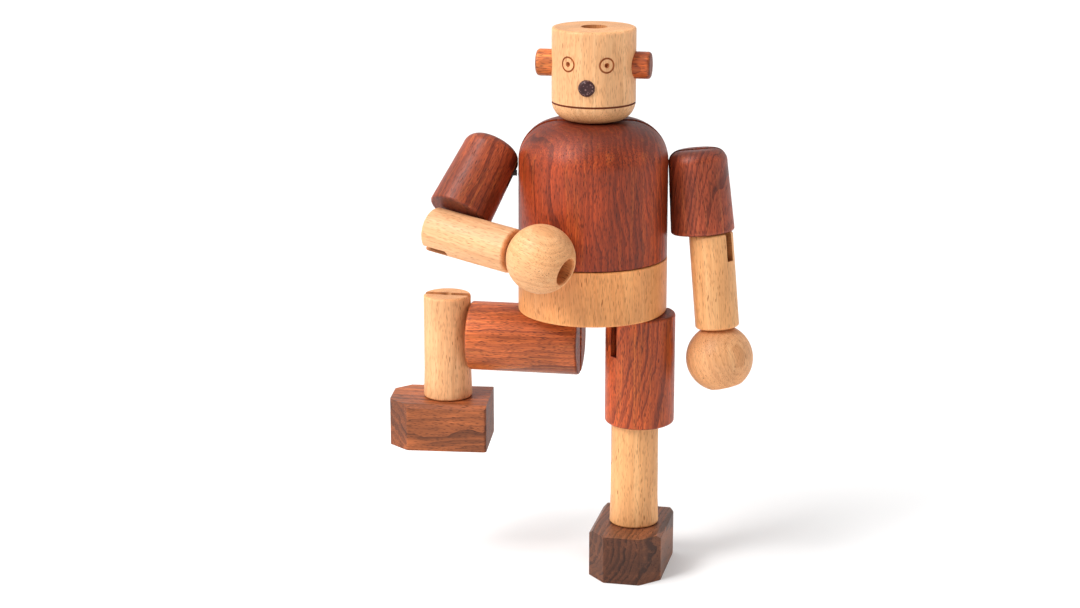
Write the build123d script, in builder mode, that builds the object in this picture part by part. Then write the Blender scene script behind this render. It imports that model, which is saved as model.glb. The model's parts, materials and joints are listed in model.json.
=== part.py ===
from build123d import *
import os
from math import atan2, cos, degrees, radians, sin, sqrt

# A wooden toy figure strung on elastic cord: turned limbs, a ball for each hand, a block for
# each foot. Millimetres, +Z up, floor at z = 0, the face towards -Y. left_ and right_ are the
# figure's own sides: its left is +X. It is drawn with the torso's axis on the Z axis, and moved
# at the end so that the middle of the whole figure stands over the origin.
# It stands on its left leg with the right thigh level, the right forearm across the body,
# and the left arm hanging.

# ---- clearances and shared details -------------------------------------------------------
face_gap = 0.15          # between two wooden faces that meet
kerf_width = 3.8         # saw cut that lets the elastic swing over when a limb folds
cord_radius = 1.3        # elastic cord
bore_radius = 2.4        # hole for the elastic along each limb
peg_fit = 0.03           # radial room round the glued ear and nose pegs
peg_hole_depth = 9.0     # the open holes in the head, hands and feet
pocket_depth = 6.5       # below each open hole, for the knot
pocket_radius = 3.8
cord_trim = 0.5          # cut from each end of the cord pieces that bend at a joint
knot_radius = 3.3

# ---- trunk --------------------------------------------------------------------------------
torso_radius = 31.8
torso_bottom = 140.1
torso_top = 198.5
shoulder_round = 17.0
trunk_edge = 0.6
torso_kerf_floor = 169.9
torso_bore_radius = 4.6
strand_offset = 3.0      # the two leg strands pass either side of the arm elastic
pelvis_radius = 31.9
pelvis_bottom = 116.2
pelvis_top = torso_bottom - 0.2
pelvis_edge = 1.0
pelvis_yaw = -15.0       # the pelvis is turned a little at the waist
hip_circle_radius = 21.25
hip_bore_radius = 2.4
channel_depth = 6.0      # groove in the pelvis top that leads the leg strands to the middle
channel_width = 4.4
strand_bend = 2.9        # bend radius of the leg strands over the hip holes

# ---- head ---------------------------------------------------------------------------------
head_radius = 17.75
head_bottom = torso_top + face_gap
head_top = 238.0
head_edge = 1.0
chin_round = 8.5
head_yaw = -11.2
head_hole_radius = 5.5
mouth_height = 206.6
mouth_width = 0.7
mouth_depth = 0.7
head_pocket_radius = 5.0
head_pocket_floor = 219.0
head_bore_radius = 4.5
head_knot_radius = 4.85
ear_height = 222.4
ear_radius = 5.7
ear_reach = 24.3         # from the head's axis to the ear's outer face
ear_socket = 12.0
ear_edge = 1.4
eye_height = 224.3
eye_spread = 27.4        # degrees either side of the nose
eye_radius = 3.3
eye_ring_width = 0.65
eye_ring_depth = 0.6
eye_pit_radius = 1.0
eye_pit_depth = 1.5
nose_height = 214.8
nose_radius = 3.5
nose_reach = 18.9
nose_socket = 12.6
nose_edge = 1.3

# ---- arms ---------------------------------------------------------------------------------
upper_arm_top_radius = 12.6
upper_arm_end_radius = 13.6
upper_arm_length = 35.6
upper_arm_round = 5.3
upper_arm_edge = 1.2
upper_arm_kerf = 15.8
shoulder_depth = 14.5    # from the arm's top to where the shoulder elastic enters its axis
shoulder_gap = 0.0      # the rounded tops only just touch the torso's side
forearm_radius = 9.4
forearm_length = 41.0
forearm_edge = 1.2
forearm_kerf = 12.0
elbow_overhang = 8.2    # how far a folded forearm reaches past the upper arm's axis
hand_radius = 14.4
hand_seat = 13.5         # from the forearm's wrist face to the middle of the hand
hand_hole_radius = 5.5
hand_rim = 1.0
hand_room = 0.15
hand_bore_radius = 2.0
left_arm_raise = 4.7
left_arm_swing = 4.5
left_arm_cord_height = 171.4
left_elbow_shift = 4.2   # the left forearm sits off centre under its upper arm
left_elbow_fold = -40.0  # heading the left forearm folds towards
right_arm_raise = 25.5
right_arm_swing = 35.0
right_arm_cord_height = 175.8
right_forearm_way = Vector(0.88, -0.57, -0.11)
left_hand_lean = 10.0
left_hand_lean_way = Vector(0.87, -0.5, 0)
right_hand_lean = 12.0

# ---- legs ---------------------------------------------------------------------------------
thigh_radius = 15.0
thigh_length = 48.7
thigh_edge = 1.2
thigh_kerf = 17.5
hip_overhang = 15.9
shin_radius = 10.3
shin_foot_radius = 10.7
shin_straight = 33.5     # below this the shin swells to its foot end
shin_length = 46.1
shin_edge = 1.0
shin_kerf = 19.6
knee_overhang = 18.2
left_knee_shift = -1.9
left_foot_slip = Vector(-0.9, 1.8, 0)     # its foot sits a little off the shin's axis
left_thigh_fold = 38.0       # heading the standing thigh folds towards
right_thigh_heading = 170.0
foot_length = 43.4
foot_width = 31.8
foot_heel = 18.6             # from the ankle's axis to the back of the foot
toe_width = 15.6
toe_chamfer_length = 8.6
foot_bevel = 1.8
foot_edge = 1.5
foot_hole_radius = 5.75
left_toe_heading = 257.6
right_toe_heading = 174.6

UP = Vector(0, 0, 1)
DOWN = Vector(0, 0, -1)


# ---- helpers ------------------------------------------------------------------------------
def heading(angle):
    """A level direction, by its angle from +X."""
    return Vector(cos(radians(angle)), sin(radians(angle)), 0)


def frame(origin, along, across):
    """A plane whose Z runs along a limb and whose X lies across it, in its kerf."""
    along = Vector(along).normalized()
    across = Vector(across)
    across = (across - along * across.dot(along)).normalized()
    return Plane(origin=origin, x_dir=across, z_dir=along)


def outline_plane(limb_frame):
    """The plane of a turned piece's outline: X across the piece, Y along its axis."""
    return Plane(
        origin=limb_frame.origin,
        x_dir=limb_frame.x_dir,
        z_dir=limb_frame.x_dir.cross(limb_frame.z_dir),
    )


# ---- pieces that repeat -------------------------------------------------------------------
def turned_limb(limb_frame, outline, kerf_depth, length):
    """A turned piece with both ends rounded, a kerf in its near end and a bore right through."""
    start_radius, start_round, straight, end_radius, end_round = outline
    with BuildPart() as limb:
        with BuildSketch(outline_plane(limb_frame)):
            with BuildLine():
                first = Line((0, 0), (start_radius - start_round, 0))
                arc = CenterArc((start_radius - start_round, start_round), start_round, -90, 90)
                Polyline(arc @ 1, (start_radius, straight), (end_radius, length - end_round))
                end_arc = CenterArc((end_radius - end_round, length - end_round), end_round, 0, 90)
                Polyline(end_arc @ 1, (0, length), first @ 0)
            make_face()
        revolve(axis=Axis(limb_frame.origin, limb_frame.z_dir))
        with BuildSketch(limb_frame):
            Rectangle(2 * start_radius + 4, kerf_width)
        extrude(amount=kerf_depth, mode=Mode.SUBTRACT)
        with BuildSketch(limb_frame):
            Circle(bore_radius)
        extrude(amount=length, mode=Mode.SUBTRACT)
    return limb.part


def upper_arm_piece(limb_frame):
    straight = upper_arm_round + upper_arm_edge
    outline = (upper_arm_top_radius, upper_arm_round, straight, upper_arm_end_radius, upper_arm_edge)
    return turned_limb(limb_frame, outline, upper_arm_kerf, upper_arm_length)


def forearm_piece(limb_frame):
    """A forearm, with a shallow round seat for the hand in its wrist face."""
    outline = (forearm_radius, forearm_edge, forearm_kerf, forearm_radius, forearm_edge)
    plain = turned_limb(limb_frame, outline, forearm_kerf, forearm_length)
    hand_centre = limb_end(limb_frame, forearm_length + hand_seat)
    with BuildPart() as forearm:
        add(plain)
        with Locations(hand_centre):
            Sphere(hand_radius + hand_room, mode=Mode.SUBTRACT)
    return forearm.part


def thigh_piece(limb_frame):
    outline = (thigh_radius, thigh_edge, thigh_kerf, thigh_radius, thigh_edge)
    return turned_limb(limb_frame, outline, thigh_kerf, thigh_length)


def shin_piece(limb_frame):
    outline = (shin_radius, shin_edge, shin_straight, shin_foot_radius, shin_edge)
    return turned_limb(limb_frame, outline, shin_kerf, shin_length)


def hand_piece(hand_frame):
    """A ball with an open hole, a pocket for the knot and a bore towards the wrist."""
    low_corner = (Align.MIN, Align.MIN)
    with BuildPart() as hand:
        with BuildSketch(outline_plane(hand_frame)) as outline:
            with BuildLine():
                ball_arc = CenterArc((0, 0), hand_radius, -90, 180)
                Line(ball_arc @ 1, ball_arc @ 0)
            make_face()
            with Locations((0, hand_hole_floor)):
                Rectangle(hand_hole_radius, hand_radius, align=low_corner, mode=Mode.SUBTRACT)
            with Locations((0, hand_hole_floor - pocket_depth)):
                Rectangle(pocket_radius, hand_radius, align=low_corner, mode=Mode.SUBTRACT)
            with Locations((0, -hand_radius)):
                Rectangle(hand_bore_radius, hand_radius, align=low_corner, mode=Mode.SUBTRACT)
            rim = outline.vertices().sort_by(Axis.Y)[-1]
            fillet(rim, radius=hand_rim)
        revolve(axis=Axis(hand_frame.origin, hand_frame.z_dir))
    return hand.part


def foot_piece(ankle, toe_heading):
    """A block with chamfered toe corners and bevelled long edges, bored in line with the shin."""
    foot_plane = Plane(
        origin=ankle - UP * (face_gap + foot_height), x_dir=heading(toe_heading), z_dir=(0, 0, 1)
    )
    toe = foot_length - foot_heel
    half_width = foot_width / 2
    half_toe = toe_width / 2
    with BuildPart() as foot:
        with BuildSketch(foot_plane):
            with BuildLine():
                Polyline(
                    (-foot_heel, -half_width),
                    (toe - toe_chamfer_length, -half_width),
                    (toe, -half_toe),
                    (toe, half_toe),
                    (toe - toe_chamfer_length, half_width),
                    (-foot_heel, half_width),
                    close=True,
                )
            make_face()
        extrude(amount=foot_height)
        top_edges = foot.faces().sort_by(Axis.Z)[-1].edges()
        long_edges = top_edges.filter_by(Axis((0, 0, 0), foot_plane.x_dir))
        chamfer(long_edges, length=foot_bevel)
        fillet(foot.edges().filter_by(Axis.Z), radius=foot_edge)
        with BuildSketch(foot_plane):
            Circle(foot_hole_radius)
        extrude(amount=peg_hole_depth, mode=Mode.SUBTRACT)
        with BuildSketch(foot_plane.offset(peg_hole_depth)):
            Circle(pocket_radius)
        extrude(amount=pocket_depth, mode=Mode.SUBTRACT)
        with BuildSketch(foot_plane.offset(peg_hole_depth)):
            Circle(bore_radius)
        extrude(amount=foot_height, mode=Mode.SUBTRACT)
    return foot.part


def cord_between(start, end):
    """A straight length of elastic from one point to another."""
    run = end - start
    across = UP.cross(run)
    if across.length < cord_radius:
        across = Vector(1, 0, 0)
    with BuildPart() as cord:
        with BuildSketch(frame(start, run, across)):
            Circle(cord_radius)
        extrude(amount=run.length)
    return cord.part


def bent_cord(start, end):
    """A length of elastic at a joint, trimmed to stay clear of the lengths it meets."""
    trim = (end - start).normalized() * cord_trim
    return cord_between(start + trim, end - trim)


def knotted_cord(knot_centre, end):
    """A knot with its elastic leading away to a point."""
    lead = cord_between(knot_centre, end)
    with BuildPart() as knot:
        add(lead)
        with Locations(knot_centre):
            Sphere(knot_radius)
    return knot.part


def strand_pair(bottom, top):
    """The two leg strands, side by side, between two heights."""
    with BuildPart() as strands:
        with BuildSketch(Plane.XY.offset(bottom)):
            with Locations((0, -strand_offset), (0, strand_offset)):
                Circle(cord_radius)
        extrude(amount=top - bottom)
    return strands.part


# ---- where the limbs are ------------------------------------------------------------------
foot_height = pelvis_bottom - thigh_length - shin_length - 3 * face_gap
hand_hole_floor = sqrt(hand_radius**2 - hand_hole_radius**2) - peg_hole_depth
left_hip = heading(pelvis_yaw) * hip_circle_radius
right_hip = heading(pelvis_yaw) * -hip_circle_radius


def limb_end(limb_frame, length):
    return limb_frame.origin + limb_frame.z_dir * length


def arm_frame(side, swing, raise_angle, cord_height):
    """The top of an upper arm: its rounded inner edge rests on the torso's side."""
    outward = Vector(side, 0, 0)
    hang = Vector(0, -sin(radians(swing)), -cos(radians(swing)))
    along = outward * sin(radians(raise_angle)) + hang * cos(radians(raise_angle))
    inward = hang * sin(radians(raise_angle)) - outward * cos(radians(raise_angle))
    flat_radius = upper_arm_top_radius - upper_arm_round
    lift = (shoulder_depth - upper_arm_round) * cos(radians(raise_angle))
    lift = lift - flat_radius * sin(radians(raise_angle))
    round_centre = outward * (torso_radius + shoulder_gap + upper_arm_round)
    round_centre = round_centre + UP * cord_height - hang * lift
    top = round_centre - inward * flat_radius - along * upper_arm_round
    return frame(top, along, inward)


def straight_child(end, along, across, shift):
    """The next limb in line with its parent, off centre by shift towards across."""
    across = frame(end, along, across).x_dir
    return frame(end + along * face_gap + across * shift, along, across)


def folded_child(end, along, out, radius, overhang):
    """The next limb folded square to its parent, its side on the parent's end."""
    out = frame(end, along, out).x_dir
    return frame(end + along * (face_gap + radius) - out * overhang, out, along)


def hand_frame_at(forearm_frame, lean, lean_way):
    """The hand's own axis, through its open hole, leaning a little off the forearm's."""
    centre = limb_end(forearm_frame, forearm_length + hand_seat)
    sideways = frame(centre, forearm_frame.z_dir, lean_way).x_dir
    along = forearm_frame.z_dir * cos(radians(lean)) + sideways * sin(radians(lean))
    return frame(centre, along, sideways)


left_upper_arm = arm_frame(1, left_arm_swing, left_arm_raise, left_arm_cord_height)
right_upper_arm = arm_frame(-1, right_arm_swing, right_arm_raise, right_arm_cord_height)
left_elbow = limb_end(left_upper_arm, upper_arm_length)
right_elbow = limb_end(right_upper_arm, upper_arm_length)
left_forearm = straight_child(
    left_elbow, left_upper_arm.z_dir, heading(left_elbow_fold), left_elbow_shift
)
right_forearm = folded_child(
    right_elbow, right_upper_arm.z_dir, right_forearm_way, forearm_radius, elbow_overhang
)
left_hand = hand_frame_at(left_forearm, left_hand_lean, left_hand_lean_way)
right_hand = hand_frame_at(right_forearm, right_hand_lean, DOWN)

left_thigh = straight_child(left_hip + UP * pelvis_bottom, DOWN, heading(left_thigh_fold), 0)
left_knee = limb_end(left_thigh, thigh_length)
left_shin = straight_child(left_knee, DOWN, heading(0), left_knee_shift)
right_thigh = folded_child(
    right_hip + UP * pelvis_bottom, DOWN, heading(right_thigh_heading), thigh_radius, hip_overhang
)
right_knee = limb_end(right_thigh, thigh_length)
right_shin = folded_child(right_knee, right_thigh.z_dir, DOWN, shin_radius, knee_overhang)
left_ankle = limb_end(left_shin, shin_length) + left_foot_slip
right_ankle = limb_end(right_shin, shin_length)

# ---- torso: a domed cylinder with a saw cut across it for the arm elastic -------------------
with BuildPart() as torso:
    with BuildSketch(Plane.XZ):
        with BuildLine():
            Polyline((0, torso_top), (0, torso_bottom), (torso_radius - trunk_edge, torso_bottom))
            CenterArc((torso_radius - trunk_edge, torso_bottom + trunk_edge), trunk_edge, -90, 90)
            Line((torso_radius, torso_bottom + trunk_edge), (torso_radius, torso_top - shoulder_round))
            dome_centre = (torso_radius - shoulder_round, torso_top - shoulder_round)
            CenterArc(dome_centre, shoulder_round, 0, 90)
            Line((torso_radius - shoulder_round, torso_top), (0, torso_top))
        make_face()
    revolve(axis=Axis.Z)
    with BuildSketch(Plane.XY.offset(torso_top)):
        Rectangle(2 * torso_radius + 4, kerf_width)
    extrude(amount=torso_kerf_floor - torso_top, mode=Mode.SUBTRACT)
    with BuildSketch(Plane.XY.offset(torso_bottom)):
        Circle(torso_bore_radius)
    extrude(amount=torso_top - torso_bottom, mode=Mode.SUBTRACT)
torso.part.label = "torso"

# ---- pelvis: a plain disc with two hip holes joined to the middle by channels ---------------
with BuildPart() as pelvis:
    with BuildSketch(Plane.XZ):
        with BuildLine():
            Polyline((0, pelvis_top), (0, pelvis_bottom), (pelvis_radius - pelvis_edge, pelvis_bottom))
            CenterArc((pelvis_radius - pelvis_edge, pelvis_bottom + pelvis_edge), pelvis_edge, -90, 90)
            Line((pelvis_radius, pelvis_bottom + pelvis_edge), (pelvis_radius, pelvis_top - trunk_edge))
            CenterArc((pelvis_radius - trunk_edge, pelvis_top - trunk_edge), trunk_edge, 0, 90)
            Line((pelvis_radius - trunk_edge, pelvis_top), (0, pelvis_top))
        make_face()
    revolve(axis=Axis.Z)
    with BuildSketch(Plane.XY.offset(pelvis_bottom)):
        with Locations(left_hip, right_hip):
            Circle(hip_bore_radius)
    extrude(amount=pelvis_top - pelvis_bottom, mode=Mode.SUBTRACT)
    with BuildSketch(Plane.XY.offset(pelvis_top)):
        with BuildLine():
            Line(left_hip, (0, -strand_offset))
        trace(line_width=channel_width)
        with BuildLine():
            Line(right_hip, (0, strand_offset))
        trace(line_width=channel_width)
        Circle(torso_bore_radius)
    extrude(amount=-channel_depth, mode=Mode.SUBTRACT)
pelvis.part.label = "pelvis"

# ---- head: a turned cup shape with a mouth groove, eyes, and sockets for ears and nose ------
face_way = heading(head_yaw - 90)
ear_way = heading(head_yaw)
nose_plane = Plane(origin=(0, 0, nose_height), x_dir=ear_way, z_dir=face_way)
left_ear_plane = Plane(origin=(0, 0, ear_height), x_dir=(0, 0, 1), z_dir=ear_way)
right_ear_plane = Plane(origin=(0, 0, ear_height), x_dir=(0, 0, 1), z_dir=-ear_way)
eye_planes = [
    Plane(origin=(0, 0, eye_height), x_dir=(0, 0, 1), z_dir=heading(head_yaw - 90 + side * eye_spread))
    for side in (-1, 1)
]
with BuildPart() as head:
    with BuildSketch(Plane.XZ):
        with BuildLine():
            Polyline((0, head_top), (0, head_bottom), (head_radius - chin_round, head_bottom))
            CenterArc((head_radius - chin_round, head_bottom + chin_round), chin_round, -90, 90)
            Line((head_radius, head_bottom + chin_round), (head_radius, head_top - head_edge))
            CenterArc((head_radius - head_edge, head_top - head_edge), head_edge, 0, 90)
            Line((head_radius - head_edge, head_top), (0, head_top))
        make_face()
    revolve(axis=Axis.Z)
    with BuildSketch(Plane.XY.offset(mouth_height - mouth_width / 2)):
        Circle(head_radius + 1)
        Circle(head_radius - mouth_depth, mode=Mode.SUBTRACT)
    extrude(amount=mouth_width, mode=Mode.SUBTRACT)
    with BuildSketch(Plane.XY.offset(head_top)):
        Circle(head_hole_radius)
    extrude(amount=-peg_hole_depth, mode=Mode.SUBTRACT)
    with BuildSketch(Plane.XY.offset(head_pocket_floor)):
        Circle(head_pocket_radius)
    extrude(amount=head_top - head_pocket_floor, mode=Mode.SUBTRACT)
    with BuildSketch(Plane.XY.offset(head_bottom)):
        Circle(head_bore_radius)
    extrude(amount=head_top - head_bottom, mode=Mode.SUBTRACT)
    for ear_plane in (left_ear_plane, right_ear_plane):
        with BuildSketch(ear_plane.offset(ear_socket)):
            Circle(ear_radius + peg_fit)
        extrude(amount=head_radius, mode=Mode.SUBTRACT)
    with BuildSketch(nose_plane.offset(nose_socket)):
        Circle(nose_radius + peg_fit)
    extrude(amount=head_radius, mode=Mode.SUBTRACT)
    for eye_plane in eye_planes:
        with BuildSketch(eye_plane.offset(head_radius - eye_ring_depth)):
            Circle(eye_radius)
            Circle(eye_radius - eye_ring_width, mode=Mode.SUBTRACT)
        extrude(amount=head_radius, mode=Mode.SUBTRACT)
        with BuildSketch(eye_plane.offset(head_radius)):
            Circle(eye_pit_radius)
        pit_taper = degrees(atan2(eye_pit_radius, eye_pit_depth)) - 1
        extrude(amount=-eye_pit_depth, taper=pit_taper, mode=Mode.SUBTRACT)
head.part.label = "head"


def ear_piece(ear_plane):
    """A glued peg with a rounded outer edge."""
    with BuildPart() as ear:
        with BuildSketch(ear_plane.offset(ear_socket)):
            Circle(ear_radius)
        extrude(amount=ear_reach - ear_socket)
        outer_face = ear.faces().sort_by(Axis(ear_plane.origin, ear_plane.z_dir))[-1]
        fillet(outer_face.edges(), radius=ear_edge)
    return ear.part


with BuildPart() as nose:
    with BuildSketch(nose_plane.offset(nose_socket)):
        Circle(nose_radius)
    extrude(amount=nose_reach - nose_socket)
    nose_tip = nose.faces().sort_by(Axis(nose_plane.origin, nose_plane.z_dir))[-1]
    fillet(nose_tip.edges(), radius=nose_edge)
nose.part.label = "nose"

# ---- wooden pieces --------------------------------------------------------------------------
pieces = {
    "torso": torso.part,
    "pelvis": pelvis.part,
    "head": head.part,
    "nose": nose.part,
    "left_ear": ear_piece(left_ear_plane),
    "right_ear": ear_piece(right_ear_plane),
    "left_upper_arm": upper_arm_piece(left_upper_arm),
    "right_upper_arm": upper_arm_piece(right_upper_arm),
    "left_forearm": forearm_piece(left_forearm),
    "right_forearm": forearm_piece(right_forearm),
    "left_hand": hand_piece(left_hand),
    "right_hand": hand_piece(right_hand),
    "left_thigh": thigh_piece(left_thigh),
    "right_thigh": thigh_piece(right_thigh),
    "left_shin": shin_piece(left_shin),
    "right_shin": shin_piece(right_shin),
    "left_foot": foot_piece(left_ankle, left_toe_heading),
    "right_foot": foot_piece(right_ankle, right_toe_heading),
}

# ---- elastic: one cord from hand to hand, one from foot to foot up to the head ---------------
left_arm_exit = Vector(torso_radius, 0, left_arm_cord_height)
right_arm_exit = Vector(-torso_radius, 0, right_arm_cord_height)
pieces["torso_arm_cord"] = cord_between(left_arm_exit, right_arm_exit)
pieces["torso_leg_cord"] = strand_pair(torso_bottom, torso_top)
pieces["neck_cord"] = strand_pair(torso_top, mouth_height)

head_knot_height = head_pocket_floor + sqrt(head_knot_radius**2 - head_bore_radius**2) + 0.1
strands_in_head = strand_pair(mouth_height, head_knot_height)
with BuildPart() as head_knot:
    add(strands_in_head)
    with Locations((0, 0, head_knot_height)):
        Sphere(head_knot_radius)
pieces["head_knot"] = head_knot.part

strand_height = pelvis_top - channel_depth / 2
hip_cord_top = strand_height - strand_bend - 0.1


def pelvis_cord_piece(hip, strand):
    """A leg strand from the torso's middle, along its channel and down into the hip hole."""
    with BuildPart() as pelvis_cord:
        with BuildLine():
            FilletPolyline(
                (hip.X, hip.Y, hip_cord_top),
                (hip.X, hip.Y, strand_height),
                (0, strand, strand_height),
                (0, strand, torso_bottom),
                radius=strand_bend,
            )
        with BuildSketch(Plane.XY.offset(hip_cord_top)):
            with Locations(hip):
                Circle(cord_radius)
        sweep()
    return pelvis_cord.part


pieces["left_pelvis_cord"] = pelvis_cord_piece(left_hip, -strand_offset)
pieces["right_pelvis_cord"] = pelvis_cord_piece(right_hip, strand_offset)


def arm_cords(side, exit_point, upper_arm, forearm, hand, elbow_depth):
    """One arm's elastic, cut at the joints: across the shoulder, down the bores, the knot."""
    shoulder_reach = Vector(upper_arm.origin.X + upper_arm.z_dir.X * shoulder_depth, 0, exit_point.Z)
    elbow = limb_end(upper_arm, upper_arm_length)
    seat_depth = forearm_length + hand_seat - hand_radius - hand_room
    knot_depth = hand_hole_floor - pocket_depth + knot_radius
    return {
        side + "_shoulder_cord": bent_cord(exit_point, shoulder_reach),
        side + "_upper_arm_cord": cord_between(limb_end(upper_arm, upper_arm_kerf), elbow),
        side + "_elbow_cord": bent_cord(elbow, limb_end(forearm, elbow_depth)),
        side + "_forearm_cord": cord_between(
            limb_end(forearm, forearm_kerf), limb_end(forearm, seat_depth)
        ),
        side + "_hand_knot": knotted_cord(limb_end(hand, knot_depth), limb_end(hand, -hand_seat)),
    }


def leg_cords(side, hip, thigh, shin, ankle, hip_depth, knee_depth):
    """One leg's elastic, cut at the joints: down from the pelvis to the knot in the foot."""
    hip_mouth = hip + UP * pelvis_bottom
    knee = limb_end(thigh, thigh_length)
    shin_end = limb_end(shin, shin_length)
    knot_drop = face_gap + foot_height - peg_hole_depth - pocket_depth + knot_radius
    return {
        side + "_hip_cord": cord_between(hip + UP * hip_cord_top, hip_mouth),
        side + "_hip_bend_cord": bent_cord(hip_mouth, limb_end(thigh, hip_depth)),
        side + "_thigh_cord": cord_between(limb_end(thigh, thigh_kerf), knee),
        side + "_knee_cord": bent_cord(knee, limb_end(shin, knee_depth)),
        side + "_shin_cord": cord_between(limb_end(shin, shin_kerf), shin_end),
        side + "_foot_knot": knotted_cord(ankle - UP * knot_drop, ankle - UP * face_gap),
    }


pieces.update(arm_cords("left", left_arm_exit, left_upper_arm, left_forearm, left_hand, forearm_kerf))
pieces.update(
    arm_cords("right", right_arm_exit, right_upper_arm, right_forearm, right_hand, elbow_overhang)
)
pieces.update(leg_cords("left", left_hip, left_thigh, left_shin, left_ankle, thigh_kerf, shin_kerf))
pieces.update(
    leg_cords("right", right_hip, right_thigh, right_shin, right_ankle, hip_overhang, knee_overhang)
)

# ---- move the middle of the whole figure over the origin, and write the pieces ---------------
corners = [piece.bounding_box() for piece in pieces.values()]
middle_x = (min(box.min.X for box in corners) + max(box.max.X for box in corners)) / 2
middle_y = (min(box.min.Y for box in corners) + max(box.max.Y for box in corners)) / 2
os.makedirs("parts", exist_ok=True)
for name, piece in pieces.items():
    centred = piece.moved(Location((-middle_x, -middle_y, 0)))
    centred.label = name
    export_step(centred, "parts/" + name + ".step")
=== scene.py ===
"""A wooden toy figure strung on elastic, dressed in solid wood grain and braided cord."""
import json
import math

import bpy
from mathutils import Matrix, Vector


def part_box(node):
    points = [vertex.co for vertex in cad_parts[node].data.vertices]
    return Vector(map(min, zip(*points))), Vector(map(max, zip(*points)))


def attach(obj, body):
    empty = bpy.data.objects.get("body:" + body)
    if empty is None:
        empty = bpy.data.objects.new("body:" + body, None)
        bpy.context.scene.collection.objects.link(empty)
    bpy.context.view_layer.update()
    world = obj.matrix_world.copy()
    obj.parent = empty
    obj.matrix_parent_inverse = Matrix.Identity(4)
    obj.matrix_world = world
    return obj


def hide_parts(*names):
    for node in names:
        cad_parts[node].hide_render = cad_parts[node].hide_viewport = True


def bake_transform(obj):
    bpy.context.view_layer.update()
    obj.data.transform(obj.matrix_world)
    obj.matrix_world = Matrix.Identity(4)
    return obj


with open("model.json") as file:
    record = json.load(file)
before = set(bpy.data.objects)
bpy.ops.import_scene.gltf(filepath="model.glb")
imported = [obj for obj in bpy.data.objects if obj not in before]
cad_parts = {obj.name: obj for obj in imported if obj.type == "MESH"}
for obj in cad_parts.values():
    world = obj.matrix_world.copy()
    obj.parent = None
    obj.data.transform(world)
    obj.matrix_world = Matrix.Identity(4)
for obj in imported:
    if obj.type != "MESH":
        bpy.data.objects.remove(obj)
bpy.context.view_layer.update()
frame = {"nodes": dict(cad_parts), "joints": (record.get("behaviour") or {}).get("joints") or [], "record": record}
nodes = frame["nodes"]
joints = {joint["name"]: joint for joint in frame["joints"]}
MM = 0.001
UP = Vector((0, 0, 1))
trunk_low, trunk_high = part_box("torso")
TRUNK = Vector(((trunk_low[0] + trunk_high[0]) / 2, (trunk_low[1] + trunk_high[1]) / 2, 0))


def on_trunk(height):
    """A point on the trunk's own axis, at a height in millimetres."""
    return TRUNK + UP * height * MM


# ---- small helpers -------------------------------------------------------------------------
def joint_point(name):
    return Vector(joints[name]["pos_m"])


def joint_axis(name):
    return Vector(joints[name]["axis"]).normalized()


def mount(name):
    return next(m for m in frame["record"]["mounts"] if m["name"] == name)


def grain_frame(origin, along, across):
    """An origin, and the rotation whose Z runs along the grain and whose Y lies towards the normal
    of the saw cut, or any way across the grain in a piece without one."""
    z = Vector(along).normalized()
    y = Vector(across)
    y = (y - z * y.dot(z)).normalized()
    x = y.cross(z)
    return Vector(origin), Matrix((x, y, z)).transposed()


class Tree:
    """Builds a node tree by short calls. Every call returns an output socket."""

    def __init__(self, tree):
        self.tree = tree

    def node(self, kind, inputs=(), **settings):
        made = self.tree.nodes.new(kind)
        for key, value in settings.items():
            setattr(made, key, value)
        for key, value in dict(inputs).items():
            self.put(made.inputs[key], value)
        return made

    def put(self, socket, value):
        if isinstance(value, bpy.types.NodeSocket):
            self.tree.links.new(value, socket)
        else:
            socket.default_value = value

    def math(self, operation, a, b=0.0, clamp=False):
        return self.node(
            "ShaderNodeMath", {0: a, 1: b}, operation=operation, use_clamp=clamp
        ).outputs[0]

    def vector(self, operation, a, b=(0, 0, 0)):
        made = self.node("ShaderNodeVectorMath", {0: a, 1: b}, operation=operation)
        return made.outputs["Value" if operation in ("LENGTH", "DOT_PRODUCT") else "Vector"]

    def combine(self, x, y, z):
        return self.node("ShaderNodeCombineXYZ", {0: x, 1: y, 2: z}).outputs[0]

    def split(self, vector):
        return self.node("ShaderNodeSeparateXYZ", {0: vector}).outputs

    def stretch(self, vector, x, y, z):
        return self.vector("MULTIPLY", vector, (x, y, z))

    def noise(self, vector, detail=2.0, rough=0.5):
        return self.node(
            "ShaderNodeTexNoise",
            {"Vector": vector, "Scale": 1.0, "Detail": detail, "Roughness": rough},
        ).outputs

    def cells(self, vector):
        return self.node("ShaderNodeTexVoronoi", {"Vector": vector, "Scale": 1.0}).outputs

    def between(self, value, low, high, to_low=0.0, to_high=1.0):
        return self.node(
            "ShaderNodeMapRange",
            {0: value, 1: low, 2: high, 3: to_low, 4: to_high},
            interpolation_type="SMOOTHSTEP",
        ).outputs[0]

    def mix(self, factor, a, b, blend="MIX"):
        made = self.node("ShaderNodeMix", data_type="RGBA", blend_type=blend)
        self.put(made.inputs[0], factor)
        self.put(made.inputs[6], a)
        self.put(made.inputs[7], b)
        return made.outputs[2]


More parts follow.
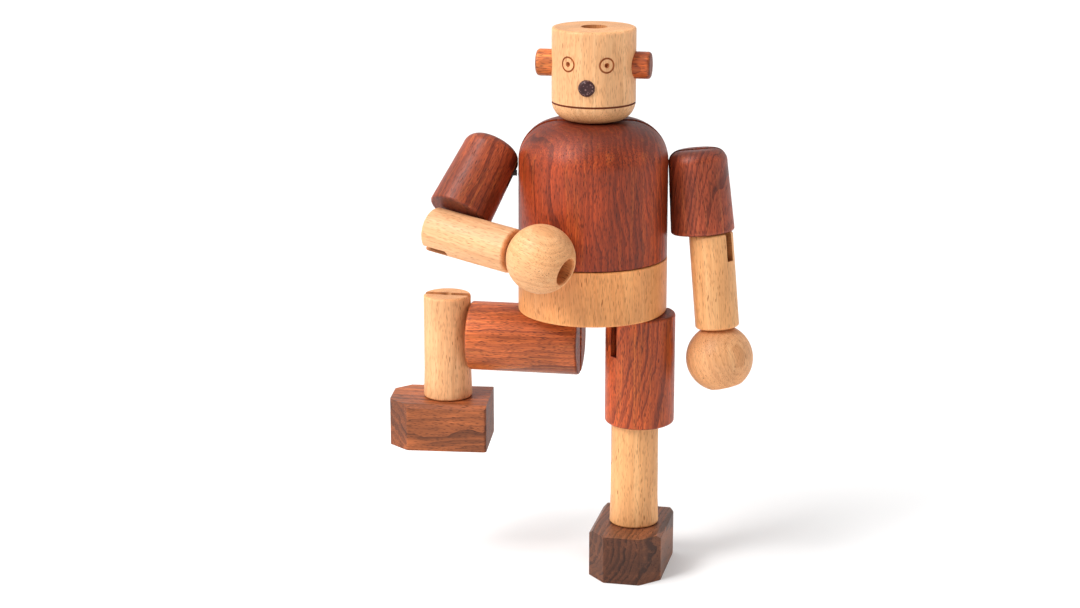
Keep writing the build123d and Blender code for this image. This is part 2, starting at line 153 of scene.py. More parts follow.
# ---- wood ----------------------------------------------------------------------------------
WOODS = {
    "beech": dict(
        early=(0.82, 0.430, 0.200), late=(0.58, 0.235, 0.080), streak=(0.88, 0.52, 0.265),
        ring=2.3, contrast=0.42, wander=2.2, fine=(2.0, 2.0, 0.25), fine_strength=0.55,
        pore=(0.30, 0.098, 0.026), pore_size=(1.05, 1.05, 0.17), pore_width=0.21, pore_amount=0.92,
        pore_strength=0.92, fibre=0.12, rough=(0.42, 0.55), bump=0.05, blotch=0.14,
    ),
    "red_wood": dict(
        early=(0.43, 0.086, 0.027), late=(0.13, 0.020, 0.009), streak=(0.60, 0.165, 0.045),
        ring=2.5, contrast=0.80, wander=3.0, fine=(2.1, 2.1, 0.34), fine_strength=0.90,
        pore=(0.040, 0.008, 0.005), pore_size=(1.45, 1.45, 0.23), pore_width=0.27, pore_amount=0.88,
        pore_strength=0.82, fibre=0.36, rough=(0.36, 0.54), bump=0.14, blotch=0.30,
    ),
    "walnut": dict(
        early=(0.200, 0.078, 0.034), late=(0.036, 0.014, 0.008), streak=(0.30, 0.115, 0.048),
        ring=2.4, contrast=0.80, wander=2.6, fine=(2.3, 2.3, 0.36), fine_strength=0.70,
        pore=(0.012, 0.005, 0.004), pore_size=(1.3, 1.3, 0.22), pore_width=0.26, pore_amount=0.80,
        pore_strength=0.90, fibre=0.32, rough=(0.40, 0.56), bump=0.14, blotch=0.30,
    ),
    "dark_wood": dict(
        early=(0.070, 0.020, 0.020), late=(0.030, 0.008, 0.010), streak=(0.10, 0.030, 0.026),
        ring=1.2, contrast=0.5, wander=0.8, fine=(3.0, 3.0, 3.0), fine_strength=0.0,
        pore=(0.62, 0.36, 0.30), pore_size=(0.95, 0.95, 0.95), pore_width=0.36, pore_amount=0.95,
        pore_strength=0.90, fibre=0.2, rough=(0.26, 0.38), bump=0.06, blotch=0.2,
    ),
}


def wood_group(kind):
    """Solid wood in millimetres, grain along Z: growth rings about a far heart, fibres and pores."""
    look = WOODS[kind]
    group = bpy.data.node_groups.new("wood_" + kind, "ShaderNodeTree")
    for name, kind_of, default in (
        ("Place", "NodeSocketVector", (0, 0, 0)),
        ("Heart X", "NodeSocketFloat", 40.0),
        ("Heart Y", "NodeSocketFloat", 12.0),
        ("Lean", "NodeSocketFloat", 0.0),
        ("Seed", "NodeSocketFloat", 0.0),
    ):
        made = group.interface.new_socket(name, in_out="INPUT", socket_type=kind_of)
        made.default_value = default
    for name, kind_of in (
        ("Color", "NodeSocketColor"),
        ("Roughness", "NodeSocketFloat"),
        ("Height", "NodeSocketFloat"),
    ):
        group.interface.new_socket(name, in_out="OUTPUT", socket_type=kind_of)
    t = Tree(group)
    inputs = group.nodes.new("NodeGroupInput").outputs
    result = group.nodes.new("NodeGroupOutput").inputs
    seed_x = t.math("MULTIPLY", inputs["Seed"], 37.0)
    seed_y = t.math("MULTIPLY", inputs["Seed"], 91.0)
    seed = t.combine(seed_x, seed_y, 0.0)
    place = inputs["Place"]
    shifted = t.vector("ADD", place, seed)

    # the slow wander of the grain, then the rings
    drift = t.noise(t.stretch(shifted, 0.045, 0.045, 0.016), 2.0, 0.5)
    drift_x, drift_y, _ = t.split(t.vector("SUBTRACT", drift["Color"], (0.5, 0.5, 0.5)))
    ripple = t.noise(t.stretch(shifted, 0.16, 0.16, 0.050), 2.0, 0.55)
    x, y, z = t.split(place)
    leaning = t.math("MULTIPLY", z, inputs["Lean"])
    from_x = t.math("ADD", t.math("ADD", x, inputs["Heart X"]), leaning)
    from_x = t.math("ADD", from_x, t.math("MULTIPLY", drift_x, look["wander"] * 4))
    from_y = t.math("ADD", y, inputs["Heart Y"])
    from_y = t.math("ADD", from_y, t.math("MULTIPLY", drift_y, look["wander"] * 4))
    radius = t.vector("LENGTH", t.combine(from_x, from_y, 0.0))
    radius = t.math("ADD", radius, t.math("MULTIPLY", ripple["Fac"], look["wander"] * 1.2))
    turn = t.math("DIVIDE", radius, look["ring"])
    turn = t.math("ADD", turn, t.math("MULTIPLY", t.noise(t.combine(turn, 0.0, 0.0))["Fac"], 1.6))
    ring = t.math("FRACT", turn)
    late = t.math("MULTIPLY", t.between(ring, 0.25, 0.93), t.between(ring, 1.0, 0.95))
    each_ring = t.node(
        "ShaderNodeTexWhiteNoise", {"W": t.math("FLOOR", turn)}, noise_dimensions="1D"
    ).outputs[0]
    late = t.math("MULTIPLY", late, t.between(each_ring, 0.0, 1.0, 0.35, 1.0))
    late_share = t.math("MULTIPLY", late, look["contrast"])
    colour = t.mix(late_share, (*look["early"], 1), (*look["late"], 1))

    # broad colour streaks along the grain, and slow blotches
    streaks = t.noise(t.stretch(shifted, 0.42, 0.42, 0.018), 3.0, 0.6)["Fac"]
    colour = t.mix(t.between(streaks, 0.50, 0.74, 0.0, 0.75), colour, (*look["streak"], 1))
    blotch = t.noise(t.stretch(shifted, 0.07, 0.07, 0.03), 2.0, 0.5)["Fac"]
    shade = t.between(blotch, 0.3, 0.7, 1.0 - look["blotch"], 1.0 + look["blotch"] * 0.5)
    colour = t.vector("MULTIPLY", colour, t.combine(shade, shade, shade))

    # fine fibres
    fibre = t.noise(t.stretch(shifted, 3.2, 3.2, 0.11), 3.0, 0.65)["Fac"]
    fibre_shade = t.between(fibre, 0.25, 0.75, 1.0 - look["fibre"], 1.0 + look["fibre"])
    colour = t.vector("MULTIPLY", colour, t.combine(fibre_shade, fibre_shade, fibre_shade))

    # open pores: short dark dashes along the grain, dots on end grain
    wobble = t.vector("ADD", shifted, t.vector("MULTIPLY", ripple["Color"], (0.8, 0.8, 2.0)))
    cell = t.cells(t.stretch(wobble, *look["pore_size"]))
    size = t.node("ShaderNodeSeparateColor", {0: cell["Color"]}).outputs
    width = t.math("MULTIPLY", t.between(size[0], 0.0, 1.0, 0.55, 1.15), look["pore_width"])
    dash = t.between(t.math("DIVIDE", cell["Distance"], width), 1.15, 0.55)
    there = t.math("LESS_THAN", size[1], look["pore_amount"])
    grouping = t.noise(t.stretch(shifted, 0.22, 0.22, 0.06), 1.0)["Fac"]
    cluster = t.between(grouping, 0.35, 0.62, 0.35, 1.0)
    pore = t.math("MULTIPLY", t.math("MULTIPLY", dash, there), cluster)
    fine_cell = t.cells(t.stretch(wobble, *look["fine"]))
    fine = t.between(fine_cell["Distance"], 0.40, 0.14, 0.0, look["fine_strength"])
    colour = t.mix(t.math("MULTIPLY", fine, look["pore_strength"]), colour, (*look["pore"], 1))
    colour = t.mix(t.math("MULTIPLY", pore, look["pore_strength"]), colour, (*look["pore"], 1))

    uneven = t.math("ADD", t.math("MULTIPLY", fibre, 0.6), t.math("MULTIPLY", blotch, 0.4))
    rough = t.between(uneven, 0.3, 0.7, *look["rough"])
    rough = t.math("ADD", rough, t.math("MULTIPLY", pore, 0.25), clamp=True)
    height = t.math("MULTIPLY", fibre, 0.35)
    height = t.math("SUBTRACT", height, t.math("MULTIPLY", pore, 1.0))
    height = t.math("SUBTRACT", height, t.math("MULTIPLY", late, 0.15))
    t.put(result["Color"], colour)
    t.put(result["Roughness"], rough)
    t.put(result["Height"], height)
    return group


GROUPS = {kind: wood_group(kind) for kind in WOODS}


EDGE_OUTER, EDGE_INNER = 0.2, 1.6      # a worn edge fades out this far from an end, in mm
SIDE_OUTER, SIDE_INNER = 0.5, 1.9      # and this far in from the round side
# CUT_FADE is where the saw cut's painted shade has faded out
CUT_EDGE, CUT_FADE = 1.86, 2.02        # the saw cut's half width, and where its colour has gone
CUT_BOTTOM_FADE = 0.3
# these soften the edge of each painted shade in a hole or groove
SHADE_OVER, SHADE_UNDER = 0.12, 0.02     # how far a mark's edge fades outwards and inwards
COAT_IOR = 1.45


def wood(name, kind, grain, heart, lean, seed, tone=(1, 1, 1), length=None, radius=None,
         kerf=None, painted_shades=()):
    """One piece's own cut of wood. Sizes are in millimetres from the piece's near end along the grain: edges wear
    paler and end grain is darker, while painted shade darkens saw cuts, drilled walls and cut lines."""
    look = WOODS[kind]
    material = bpy.data.materials.new(name)
    material.use_nodes = True
    material.node_tree.nodes.clear()
    t = Tree(material.node_tree)
    origin, turn = grain
    coordinates = t.node("ShaderNodeTexCoord").outputs["Object"]
    place = t.node(
        "ShaderNodeMapping",
        {
            "Vector": coordinates,
            "Location": origin,
            "Rotation": turn.to_euler(),
            "Scale": (MM, MM, MM),
        },
        vector_type="TEXTURE",
    ).outputs[0]
    inner = t.node("ShaderNodeGroup", node_tree=GROUPS[kind])
    t.put(inner.inputs["Place"], place)
    t.put(inner.inputs["Heart X"], heart[0])
    t.put(inner.inputs["Heart Y"], heart[1])
    t.put(inner.inputs["Lean"], lean)
    t.put(inner.inputs["Seed"], seed)
    colour = inner.outputs["Color"]
    rough = inner.outputs["Roughness"]
    height = inner.outputs["Height"]
    colour = t.vector("MULTIPLY", colour, tone)
    x, y, z = t.split(place)
    out = t.vector("LENGTH", t.combine(x, y, 0.0))

    # end grain drinks more oil and is darker
    normal = t.node("ShaderNodeNewGeometry").outputs["Normal"]
    grain_way = turn @ Vector((0, 0, 1))
    object_normal = t.node(
        "ShaderNodeVectorTransform",
        {0: normal},
        vector_type="NORMAL",
        convert_from="WORLD",
        convert_to="OBJECT",
    ).outputs[0]
    facing = t.math("ABSOLUTE", t.vector("DOT_PRODUCT", object_normal, grain_way))
    end_grain = t.between(facing, 0.25, 0.95)
    dark = (0.52, 0.50, 0.56) if kind != "beech" else (0.90, 0.86, 0.82)
    shade = t.mix(end_grain, (1, 1, 1, 1), (*dark, 1))
    colour = t.mix(1.0, colour, shade, "MULTIPLY")
    rough = t.math("ADD", rough, t.math("MULTIPLY", end_grain, 0.10), clamp=True)

    if length and radius:
        # handled edges: a little paler
        near = t.between(z, EDGE_INNER, EDGE_OUTER)
        far = t.between(z, length - EDGE_INNER, length - EDGE_OUTER)
        side = t.between(out, radius - SIDE_INNER, radius - SIDE_OUTER)
        rim = t.math("MULTIPLY", t.math("MAXIMUM", near, far), side)
        patches = t.noise(t.stretch(place, 0.5, 0.5, 0.5), 2.0)["Fac"]
        patchy = t.between(patches, 0.35, 0.65, 0.35, 1.0)
        rim = t.math("MULTIPLY", rim, patchy)
        pale = t.vector("MULTIPLY", colour, (1.35, 1.32, 1.28))
        colour = t.mix(t.math("MULTIPLY", rim, 0.55), colour, pale)
    if kerf:
        # the saw cut: painted shade makes it darker and warmer, and it is rougher and scratched across
        between_walls = t.between(t.math("ABSOLUTE", y), CUT_FADE, CUT_EDGE)
        inside = t.math("MULTIPLY", between_walls, t.between(z, kerf + CUT_BOTTOM_FADE, kerf))
        scratch = t.noise(t.stretch(place, 0.25, 1.0, 4.0), 3.0, 0.7)["Fac"]
        # painted shade in the slot, varied by the scratch pattern
        shade_and_scratch = t.between(scratch, 0.3, 0.7, 0.42, 0.78)
        shade_and_scratch_green, shade_and_scratch_blue = t.math("MULTIPLY", shade_and_scratch, 0.72), t.math("MULTIPLY", shade_and_scratch, 0.52)
        shaded_cut = t.mix(1.0, colour, t.combine(shade_and_scratch, shade_and_scratch_green, shade_and_scratch_blue), "MULTIPLY")
        colour = t.mix(inside, colour, shaded_cut)
        rough = t.math("ADD", rough, t.math("MULTIPLY", inside, 0.3), clamp=True)
        height = t.math("ADD", height, t.math("MULTIPLY", t.math("MULTIPLY", inside, scratch), 1.5))
    for shade_origin, shade_axis, low, high, shade_tint, strength, *depth in painted_shades:
        # painted shade in drilled walls and cut lines, round an axis of their own
        offset = t.vector("SUBTRACT", coordinates, shade_origin)
        along = t.vector("DOT_PRODUCT", offset, shade_axis)
        on_axis = t.vector("SCALE", shade_axis)
        on_axis.node.inputs[0].default_value = shade_axis
        t.put(on_axis.node.inputs["Scale"], along)
        reach = t.vector("LENGTH", t.vector("SUBTRACT", offset, on_axis))
        reach = t.math("MULTIPLY", reach, 1000.0)
        past_low = t.between(reach, low - SHADE_OVER, low + SHADE_UNDER)
        before_high = t.between(reach, high + SHADE_OVER, high - SHADE_UNDER)
        shade_band = t.math("MULTIPLY", past_low, before_high)
        ahead = t.math("GREATER_THAN", along, 0.0)
        if depth:
            ahead = t.math("MULTIPLY", ahead, t.math("LESS_THAN", along, depth[0] * MM))
        shade_band = t.math("MULTIPLY", t.math("MULTIPLY", shade_band, ahead), strength)
        colour = t.mix(shade_band, colour, t.vector("MULTIPLY", colour, shade_tint))
    shader = t.node("ShaderNodeBsdfPrincipled")
    shader.inputs["IOR"].default_value = COAT_IOR
    shader.inputs["Specular IOR Level"].default_value = 0.40 if kind == "beech" else 0.42
    t.put(shader.inputs["Base Color"], colour)
    t.put(shader.inputs["Roughness"], rough)
    bump = t.node("ShaderNodeBump", {"Strength": 0.55, "Distance": look["bump"] * MM, "Height": height})
    t.put(shader.inputs["Normal"], bump.outputs[0])
    t.node("ShaderNodeOutputMaterial", {"Surface": shader.outputs[0]})
    return material


def dress(node, material):
    mesh = nodes[node].data
    mesh.materials.clear()
    mesh.materials.append(material)


# ---- each piece's own grain ------------------------------------------------------------------
def limb_grain(end, along, length, cut):
    """A limb's grain, from its near end."""
    return grain_frame(end - along * length * MM, along, cut)


LENGTHS = {"upper_arm": 35.6, "forearm": 41.0, "thigh": 48.7, "shin": 46.1}   # millimetres
HAND_SEAT = 13.5         # from the middle of the hand's ball back to the forearm's end
LIMBS = {}
for side in ("left", "right"):
    # each limb: its far end, the way along it, the normal of its saw cut
    LIMBS[side + "_upper_arm"] = (
        joint_point(side + "_elbow_swivel"),
        joint_axis(side + "_elbow_swivel"),
        joint_axis(side + "_shoulder_raise"),
    )
    wrist = joint_axis(side + "_wrist_turn")
    LIMBS[side + "_forearm"] = (
        joint_point(side + "_wrist_turn") - wrist * HAND_SEAT * MM,
        wrist,
        joint_axis(side + "_elbow_bend"),
    )
    LIMBS[side + "_thigh"] = (
        joint_point(side + "_knee_swivel"),
        joint_axis(side + "_knee_swivel"),
        joint_axis(side + "_hip_bend"),
    )
    low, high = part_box(side + "_shin")
    shin_foot = Vector(((low[0] + high[0]) / 2, (low[1] + high[1]) / 2, low[2]))
    LIMBS[side + "_shin"] = (
        shin_foot,
        joint_axis(side + "_ankle_turn"),
        joint_axis(side + "_knee_bend"),
    )

LOOKS = {
    # piece: wood, heart of the tree (mm), lean, seed, tone, radius (mm), depth of the saw cut (mm)
    "left_upper_arm": ("red_wood", (30, 4), 0.32, 1.3, (0.89, 0.79, 0.94), 13.4, 15.8),
    "right_upper_arm": ("red_wood", (46, 16), 0.06, 2.1, (0.84, 0.74, 0.72), 13.4, 15.8),
    "left_thigh": ("red_wood", (34, 10), 0.16, 3.7, (1.34, 1.12, 0.76), 15.0, 17.5),
    "right_thigh": ("red_wood", (52, 30), 0.03, 4.9, (1.38, 1.58, 1.25), 15.0, 17.5),
    "left_forearm": ("beech", (38, 22), 0.03, 5.2, (1.02, 0.97, 0.84), 9.4, 12.0),
    "right_forearm": ("beech", (44, 18), 0.02, 6.4, (1.0, 1.0, 1.05), 9.4, 12.0),
    "left_shin": ("beech", (50, 14), 0.02, 7.8, (1.05, 0.99, 0.84), 10.6, 19.6),
    "right_shin": ("beech", (36, 26), 0.04, 8.3, (1.0, 0.98, 0.96), 10.6, 19.6),
}
for piece, (kind, heart, lean, seed, tone, radius, kerf) in LOOKS.items():
    end, along, cut = LIMBS[piece]
    length = LENGTHS[piece.split("_", 1)[1]]
    grain = limb_grain(end, along, length, cut)
    dress(piece, wood("wood_" + piece, kind, grain, heart, lean, seed, tone, length, radius, kerf))

# heights above the floor, lengths and radii in millimetres
TORSO_BOTTOM = 140.1
PELVIS_BOTTOM, PELVIS_LENGTH, PELVIS_RADIUS = 116.2, 23.7, 31.9
HEAD_BOTTOM, HEAD_LENGTH, HEAD_RADIUS = 198.65, 39.35, 17.75
HEAD_BORE_FROM, HEAD_BORE_RADIUS = 200.0, 5.58
EYE_HEIGHT, EYE_SPREAD = 224.3, 27.4   # the spread is in degrees from the middle of the face
# radii of the painted shade on each eye's recess wall and in its centre pit
EYE_WALL_SHADE = (2.62, 3.32)
EYE_PIT_SHADE = (-1.0, 1.05)                 # an inner radius below 0 leaves no inner edge
MOUTH_HEIGHT, MOUTH_BELOW, MOUTH_WIDTH = 206.6, 0.42, 0.84
# radii of the painted shade in the mouth's groove
MOUTH_GROOVE_SHADE = (16.7, 19.0)
EAR_HEIGHT, NOSE_HEIGHT = 222.4, 214.8
HAND_HOLE_RADIUS = 5.95

dress("torso", wood("wood_torso", "red_wood", grain_frame(on_trunk(TORSO_BOTTOM), UP, (0, 1, 0)),
                    (58, 40), 0.05, 9.6, (0.88, 0.60, 0.42)))
dress("pelvis", wood("wood_pelvis", "beech", grain_frame(on_trunk(PELVIS_BOTTOM), UP, (0, 1, 0)),
                     (70, 30), 0.10, 10.4, (1.0, 0.82, 0.60), PELVIS_LENGTH, PELVIS_RADIUS))

nod = joint_axis("head_nod")
face_way = nod.cross(UP)
# a painted shade: origin, axis, inner and outer radius, tint, strength, and how deep along the axis
painted_shades = [
    # painted shade inside the bore at the head's bottom
    (tuple(on_trunk(HEAD_BORE_FROM)), (0, 0, 1), 0.0, HEAD_BORE_RADIUS, (0.80, 0.62, 0.46), 0.9),
]
for turned in (-1, 1):
    way = Matrix.Rotation(math.radians(turned * EYE_SPREAD), 3, "Z") @ face_way
    centre = tuple(on_trunk(EYE_HEIGHT))
    # painted shade on each eye's recess wall and in its centre pit
    painted_shades.append((centre, tuple(way), *EYE_WALL_SHADE, (0.62, 0.33, 0.17), 0.95))
    painted_shades.append((centre, tuple(way), *EYE_PIT_SHADE, (0.52, 0.26, 0.13), 0.95))
mouth_from = tuple(on_trunk(MOUTH_HEIGHT - MOUTH_BELOW))
# painted shade in the mouth's groove
painted_shades.append((mouth_from, (0, 0, 1), *MOUTH_GROOVE_SHADE, (0.34, 0.13, 0.05), 1.0, MOUTH_WIDTH))
dress("head", wood("wood_head", "beech", grain_frame(on_trunk(HEAD_BOTTOM), UP, face_way),
                   (44, -46), 0.04, 11.9, (1.0, 1.01, 1.0), HEAD_LENGTH, HEAD_RADIUS, painted_shades=painted_shades))

PAIRS = {
    # side: the way its ear stands, then each piece's seed and tone, and the foot's heart
    "left": dict(ear_way=nod, hand=(12.5, (0.98, 0.92, 0.86)), ear=(14.2, (1.05, 1.04, 0.74)),
                 foot_heart=(30, -22), foot=(16.3, (1.15, 1.0, 0.92))),
    "right": dict(ear_way=-nod, hand=(13.1, (1.02, 1.0, 0.97)), ear=(15.7, (1.36, 1.86, 1.5)),
                  foot_heart=(34, 20), foot=(17.9, (1.92, 1.34, 0.88))),
}
for side, own in PAIRS.items():
    centre = joint_point(side + "_wrist_tilt")
    axis = Vector(mount(side + "_hand_hole")["axis"])
    # painted shade inside the hand's hole and at its rim, where the forearm meets the hand
    painted_shades = [(tuple(centre), tuple(axis), 0.0, HAND_HOLE_RADIUS, (0.80, 0.56, 0.38), 0.9)]
    grain = grain_frame(centre, axis, UP.cross(axis))
    dress(side + "_hand", wood("wood_" + side + "_hand", "beech", grain, (26, 9), 0.10,
                               *own["hand"], painted_shades=painted_shades))
    ear_way = Vector((own["ear_way"].x, own["ear_way"].y, 0)).normalized()
    grain = grain_frame(on_trunk(EAR_HEIGHT), ear_way, UP)
    dress(side + "_ear", wood("wood_" + side + "_ear", "red_wood", grain, (18, 7), 0.2,
                              *own["ear"]))
    ankle = joint_point(side + "_ankle_turn")
    toe = Vector(mount(side + "_sole")["pos_m"]) - ankle
    toe.z = 0
    toe.normalize()
    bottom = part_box(side + "_foot")[0][2]
    grain = grain_frame((ankle.x, ankle.y, bottom), toe, UP)
    dress(side + "_foot", wood("wood_" + side + "_foot", "walnut", grain, own["foot_heart"], 0.08,
                               *own["foot"]))
grain = grain_frame(on_trunk(NOSE_HEIGHT), face_way, UP)
dress("nose", wood("wood_nose", "dark_wood", grain, (6, 3), 0.1, 18.8))


# ---- elastic -----------------------------------------------------------------------------------
CORD_RADIUS = 1.3        # millimetres
BRAID_STRANDS = 6        # each way round
BRAID_PITCH = 2.6        # millimetres for a strand to pass one of its neighbours
BRAID_DEPTH = 0.16       # millimetres from the top of a strand down to where it dips under
AROUND = 30              # corners round the cord
STEP = 0.16              # millimetres between rings
KNOT_HEIGHT = 0.62       # of the knot's reach, along the cord
LIMB_KNOT_RADIUS = 3.3   # millimetres
HEAD_KNOT_RADIUS = 4.85
HEAD_KNOT_CORD = CORD_RADIUS * 1.45    # two cords tied as one
TAIL = 1.6               # millimetres of each cut end beyond the knot
TAIL_RADIUS = CORD_RADIUS * 0.92       # a cut end, pulled thinner by the knot
TAIL_LEANS = (-0.32, 0.38)
END_FACE = 0.02          # millimetres: corners this close to the end lie on the end face
AXIS_PASSES = 12         # repeats that settle on a cord's axis
# a cord across one of these joints stays in line with the limb above it
HELD_ABOVE = {
    "elbow_cord": "_elbow_swivel",
    "hip_bend_cord": "_hip_swivel",
    "knee_cord": "_knee_swivel",
}


def elastic_material():
    """Black braid: a soft sheen on each strand, dusty where it is handled."""
    material = bpy.data.materials.new("elastic_braid")
    material.use_nodes = True
    material.node_tree.nodes.clear()
    t = Tree(material.node_tree)
    coordinates = t.node("ShaderNodeTexCoord").outputs["Object"]
    place = t.stretch(coordinates, 1000, 1000, 1000)
    fuzz = t.noise(t.stretch(place, 7.0, 7.0, 7.0), 3.0, 0.7)["Fac"]
    dust = t.noise(t.stretch(place, 0.9, 0.9, 0.9), 2.0, 0.5)["Fac"]
    colour = t.mix(t.between(fuzz, 0.40, 0.70), (0.012, 0.011, 0.012, 1), (0.040, 0.037, 0.037, 1))
    colour = t.mix(t.between(dust, 0.50, 0.75, 0.0, 0.35), colour, (0.090, 0.080, 0.072, 1))
    shader = t.node("ShaderNodeBsdfPrincipled")
    shader.inputs["Roughness"].default_value = 0.55
    shader.inputs["Sheen Weight"].default_value = 0.30
    shader.inputs["Sheen Roughness"].default_value = 0.45
    t.put(shader.inputs["Base Color"], colour)
    bump = t.node("ShaderNodeBump", {"Strength": 0.6, "Distance": 0.06 * MM, "Height": fuzz})
    t.put(shader.inputs["Normal"], bump.outputs[0])
    t.node("ShaderNodeOutputMaterial", {"Surface": shader.outputs[0]})
    return material


def braided(path, radius):
    """Corners and faces of a braided tube along a path in metres: strands pass over and under."""
    corners, faces = [], []
    side = None
    run = 0.0
    last = len(path) - 1
    for index, point in enumerate(path):
        ahead = path[min(index + 1, last)]
        tangent = (ahead - path[max(index - 1, 0)]).normalized()
        if side is None:
            side = tangent.orthogonal()
        side = (side - tangent * side.dot(tangent)).normalized()
        other = tangent.cross(side)
        for step in range(AROUND):
            angle = 2 * math.pi * step / AROUND
            round_place = BRAID_STRANDS * step / AROUND
            one = round_place + run / BRAID_PITCH
            two = round_place - run / BRAID_PITCH
            on_top = (math.floor(one) + math.floor(two)) % 2
            bulge = abs(math.sin(math.pi * (one if on_top else two)))
            out = (radius - BRAID_DEPTH * (1 - bulge)) * MM
            corners.append(point + (side * math.cos(angle) + other * math.sin(angle)) * out)
        run += (ahead - point).length / MM
    for ring in range(last):
        for step in range(AROUND):
            near = ring * AROUND
            turned = (step + 1) % AROUND
            faces.append((near + step, near + turned, near + AROUND + turned, near + AROUND + step))
    faces.append(tuple(reversed(range(AROUND))))
    faces.append(tuple(last * AROUND + step for step in range(AROUND)))
    return corners, faces


def straight(start, end):
    count = max(2, round((end - start).length / (STEP * MM)) + 1)
    return [start.lerp(end, index / (count - 1)) for index in range(count)]


def tied(centre, along, reach):
    """The line of a cord tied once round itself and pulled tight: a closed knot that fills a ball
    of the given reach in millimetres."""
    side = along.orthogonal().normalized()
    other = along.cross(side)
    wide = reach / 3
    count = round(15 * reach / STEP)
    path = []
    for index in range(count + 1):
        turn = 2 * math.pi * index / count
        spot = side * (math.sin(turn) + 2 * math.sin(2 * turn)) * wide
        spot += other * (math.cos(turn) - 2 * math.cos(2 * turn)) * wide
        spot -= along * math.sin(3 * turn) * reach * KNOT_HEIGHT
        path.append(centre + spot * MM)
    return path


def braided_piece(node, parts, body, bends_to=None):
    """One mesh of several braided tubes, standing for a CAD cord or knot. It rides on a body, or, where it crosses
    to the next one along its line, stays where it was built, its place baked into the mesh."""
    name = node.replace("_cord", "_braid").replace("_knot", "_tied_knot")
    corners, faces = [], []
    for path, radius in parts:
        more_corners, more_faces = braided(path, radius)
        faces += [tuple(len(corners) + index for index in face) for face in more_faces]
        corners += more_corners
    mesh = bpy.data.meshes.new(name)
    mesh.from_pydata(corners, [], faces)
    for polygon in mesh.polygons:
        polygon.use_smooth = True
    mesh.materials.append(elastic)
    made = bpy.data.objects.new(name, mesh)
    bpy.context.scene.collection.objects.link(made)
    if bends_to:
        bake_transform(made)
    else:
        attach(made, body)
    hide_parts(node)


def ends_of(places):
    """The middles of a straight cord's two ends, from the corners of its end faces."""
    middle = sum(places, Vector()) / len(places)
    far = max(places, key=lambda place: (place - middle).length)
    along = far - middle
    for _ in range(AXIS_PASSES):
        pulls = ((place - middle) * (place - middle).dot(along) for place in places)
        along = sum(pulls, Vector()).normalized()
    ends = []
    for way in (1, -1):
        near = [place for place in places if (place - middle).dot(along) * way > 0]
        ends.append(sum(near, Vector()) / len(near))
    return ends


def two_strands(places):
    """The corners of a pair of cords side by side, parted at the middle of the trunk."""
    return [[place for place in places if (place.y < TRUNK.y) == lower] for lower in (True, False)]


def knot_piece(node, away, radius, cord_radius):
    """A tied knot: its cord leads away to the joint and two cut ends stand out on the other side."""
    places = [corner.co for corner in nodes[node].data.vertices]
    joint_end = max(place.dot(away) for place in places)
    leads = [place for place in places if joint_end - place.dot(away) < END_FACE * MM]
    foot = sum(leads, Vector()) / len(leads)
    depth = joint_end - min(place.dot(away) for place in places)
    centre = foot - away * (depth - radius * MM)
    parts = [(tied(centre, away, radius - cord_radius), cord_radius)]
    for group in two_strands(leads) if node == "head_knot" else [leads]:
        start = sum(group, Vector()) / len(group)
        parts.append((straight(start, start - away * (depth - radius * MM)), CORD_RADIUS))
    for lean in TAIL_LEANS:
        way = (away.orthogonal().normalized() * lean - away).normalized()
        parts.append((straight(centre, centre + way * (radius + TAIL) * MM), TAIL_RADIUS))
    braided_piece(node, parts, node_body[node])


elastic = elastic_material()
bodies = frame["record"]["behaviour"]["bodies"]
node_body = {node: body for body, members in bodies.items() for node in members}
for node in sorted(nodes):
    if node.endswith("_pelvis_cord"):
        dress(node, elastic)
    elif node.endswith("_cord"):
        places = [corner.co.copy() for corner in nodes[node].data.vertices]
        paired = node in ("neck_cord", "torso_leg_cord")
        lines = [
            sorted(ends_of(strand), key=lambda end: (end - TRUNK).xy.length)
            for strand in (two_strands(places) if paired else [places])
        ]
        side, joint = node.split("_", 1)
        body = side + HELD_ABOVE[joint] if joint in HELD_ABOVE else node_body[node]
        bends_to = side + "_upper_arm" if joint == "shoulder_cord" else None
        braided_piece(node, [(straight(*line), CORD_RADIUS) for line in lines], body, bends_to)
for side in ("left", "right"):
    wrist_way = (LIMBS[side + "_forearm"][0] - joint_point(side + "_wrist_tilt")).normalized()
    knot_piece(side + "_hand_knot", wrist_way, LIMB_KNOT_RADIUS, CORD_RADIUS)
    knot_piece(side + "_foot_knot", UP, LIMB_KNOT_RADIUS, CORD_RADIUS)
knot_piece("head_knot", -UP, HEAD_KNOT_RADIUS, HEAD_KNOT_CORD)

# ---- stage, light and camera -------------------------------------------------------------------
FLOOR_REACH = 6.0        # metres each way
FLOOR_WHITE, FLOOR_ROUGHNESS, FLOOR_GLOW = 0.86, 0.9, 0.08
SKY_FRONT, SKY_BACK = 0.26, 0.94       # strength in front of the figure and behind it
SKY_FROM, SKY_TO = -0.95, 0.15         # where the one passes into the other
KEY_OFFSET, KEY_TARGET_HEIGHT = (-0.75, -0.55, 0.80), 140
KEY_SIZE, KEY_POWER = 0.40, 7
SUN_WAY, SUN_STRENGTH, SUN_SPREAD = (0.60, 0.22, -0.95), 1.5, 28
CAMERA_OFFSET, CAMERA_TILT, CAMERA_LENS = (-0.0226, -0.950, 0.3744), 74.9, 76.1

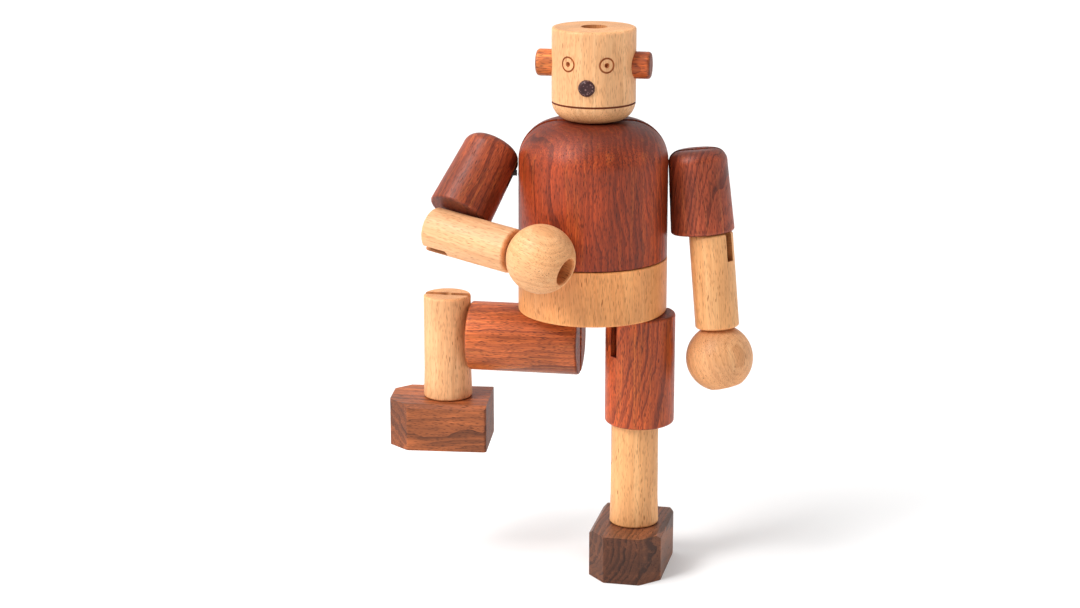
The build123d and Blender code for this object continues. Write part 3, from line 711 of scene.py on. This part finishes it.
scene = bpy.context.scene
floor_mesh = bpy.data.meshes.new("floor")
ways = ((-1, -1), (1, -1), (1, 1), (-1, 1))
floor_mesh.from_pydata(
    [(x * FLOOR_REACH, y * FLOOR_REACH, 0) for x, y in ways], [], [(0, 1, 2, 3)]
)
floor = bpy.data.objects.new("floor", floor_mesh)
scene.collection.objects.link(floor)
floor_material = bpy.data.materials.new("paper_white")
floor_material.use_nodes = True
floor_shader = floor_material.node_tree.nodes["Principled BSDF"]
floor_shader.inputs["Base Color"].default_value = (FLOOR_WHITE, FLOOR_WHITE, FLOOR_WHITE, 1)
floor_shader.inputs["Roughness"].default_value = FLOOR_ROUGHNESS
floor_shader.inputs["Emission Color"].default_value = (1, 1, 1, 1)
floor_shader.inputs["Emission Strength"].default_value = FLOOR_GLOW
floor_mesh.materials.append(floor_material)

world = bpy.data.worlds.new("studio")
scene.world = world
world.use_nodes = True
sky = Tree(world.node_tree)
background = world.node_tree.nodes["Background"]
_, towards_back, _ = sky.split(sky.node("ShaderNodeTexCoord").outputs["Generated"])
sky.put(background.inputs["Color"], (1, 1, 1, 1))
strength = sky.between(towards_back, SKY_FROM, SKY_TO, SKY_FRONT, SKY_BACK)
sky.put(background.inputs["Strength"], strength)
scene.view_settings.view_transform = "Standard"


key_data = bpy.data.lights.new("key", "AREA")
key_data.shape = "DISK"
key_data.size = KEY_SIZE
key_data.energy = KEY_POWER
key = bpy.data.objects.new("key", key_data)
key.location = TRUNK + Vector(KEY_OFFSET)
key_way = on_trunk(KEY_TARGET_HEIGHT) - key.location
key.rotation_euler = key_way.to_track_quat("-Z", "Y").to_euler()
scene.collection.objects.link(key)

sun_data = bpy.data.lights.new("sun", "SUN")
sun_data.energy = SUN_STRENGTH
sun_data.angle = math.radians(SUN_SPREAD)
sun = bpy.data.objects.new("sun", sun_data)
sun.rotation_euler = Vector(SUN_WAY).to_track_quat("-Z", "Y").to_euler()
scene.collection.objects.link(sun)

camera_data = bpy.data.cameras.new("camera")
camera_data.lens = CAMERA_LENS
camera_data.sensor_width = 36
camera = bpy.data.objects.new("camera", camera_data)
camera.location = TRUNK + Vector(CAMERA_OFFSET)
camera.rotation_euler = (math.radians(CAMERA_TILT), 0, 0)
scene.collection.objects.link(camera)
scene.camera = camera
